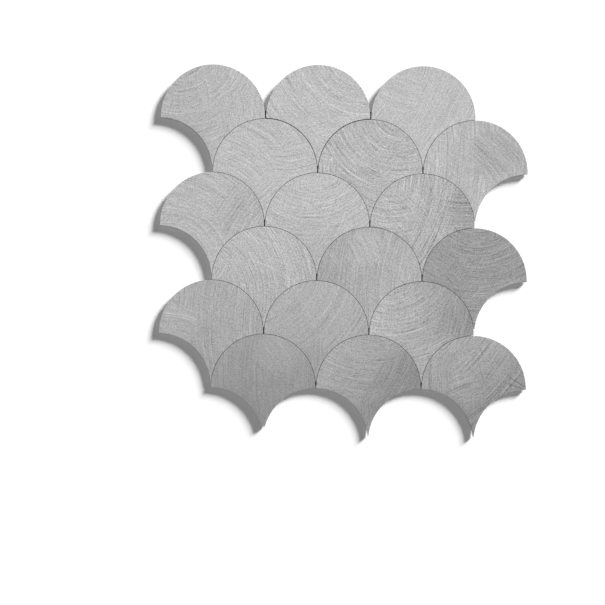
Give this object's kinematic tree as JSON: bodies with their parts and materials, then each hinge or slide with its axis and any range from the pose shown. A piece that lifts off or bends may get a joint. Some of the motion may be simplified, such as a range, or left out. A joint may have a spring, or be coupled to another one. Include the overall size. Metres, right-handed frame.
{
  "type": "self-adhesive mosaic tile sheet",
  "caption": "Flat sheet of brushed-metal fish-scale mosaic tiles on a soft self-adhesive backing with a peel-off liner.",
  "frame": {"origin": "middle of the underside: the centre of the box round the sheet, on the liner's face", "axes": "+Z out of the metal face, +Y up the pattern from the tails to the round heads, +X along the rows towards the side where the second, fourth and sixth rows stand out"},
  "size_m": [0.2904, 0.293, 0.004],
  "materials": {
    "brushed_metal": "brushed",
    "adhesive": "matte",
    "liner": "satin"
  },
  "bodies": {
    "root": {"scale_r1_c1": "brushed_metal", "scale_r1_c2": "brushed_metal", "scale_r1_c3": "brushed_metal", "scale_r2_c1": "brushed_metal", "scale_r2_c2": "brushed_metal", "scale_r2_c3": "brushed_metal", "scale_r3_c1": "brushed_metal", "scale_r3_c2": "brushed_metal", "scale_r3_c3": "brushed_metal", "scale_r4_c1": "brushed_metal", "scale_r4_c2": "brushed_metal", "scale_r4_c3": "brushed_metal", "scale_r5_c1": "brushed_metal", "scale_r5_c2": "brushed_metal", "scale_r5_c3": "brushed_metal", "scale_r6_c1": "brushed_metal", "scale_r6_c2": "brushed_metal", "scale_r6_c3": "brushed_metal", "adhesive_sheet": "adhesive", "release_liner": "liner"}
  },
  "joints": []
}
